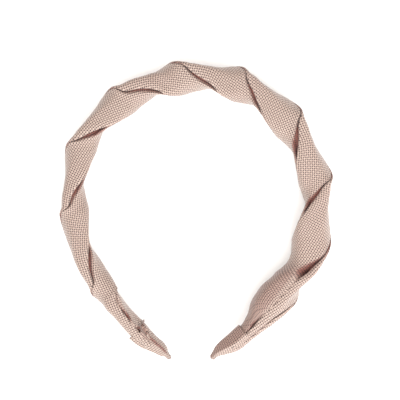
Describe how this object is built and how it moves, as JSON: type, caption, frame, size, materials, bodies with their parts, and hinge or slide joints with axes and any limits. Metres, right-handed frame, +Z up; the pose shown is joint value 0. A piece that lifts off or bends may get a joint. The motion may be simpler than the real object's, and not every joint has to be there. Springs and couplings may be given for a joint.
{
  "type": "twisted headband",
  "caption": "U-shaped alice headband: a springy core inside padded woven-cloth strands twisted round each other, with leaf-shaped cloth end caps.",
  "frame": {"origin": "on the surface that the band lies on, under the middle of its outline", "axes": "the band lies on its side: +Y points from the open mouth to the crown, +X runs across the mouth towards the right arm, +Z goes up through the band's width"},
  "size_m": [0.1432, 0.1532, 0.0187],
  "materials": {
    "core_plastic": "satin moulded plastic",
    "sponge": "soft open-cell sponge",
    "strand_cloth": "coarse plain weave with a soft rose-gold lustre",
    "wadding": "loose polyester wadding",
    "cap_cloth": "coarse plain weave, folded and pinched",
    "glue": "set hot-melt glue, translucent",
    "thread": "spun sewing thread"
  },
  "bodies": {
    "root": {"core_band": "core_plastic", "core_sponge": "sponge", "strand_a_cloth": "strand_cloth", "strand_b_cloth": "strand_cloth", "strand_a_wadding": "wadding", "strand_b_wadding": "wadding", "end_cap_left": "cap_cloth", "end_cap_right": "cap_cloth", "tip_glue_left": "glue", "tip_glue_right": "glue", "binding_thread_left": "thread", "binding_thread_right": "thread"}
  },
  "joints": []
}
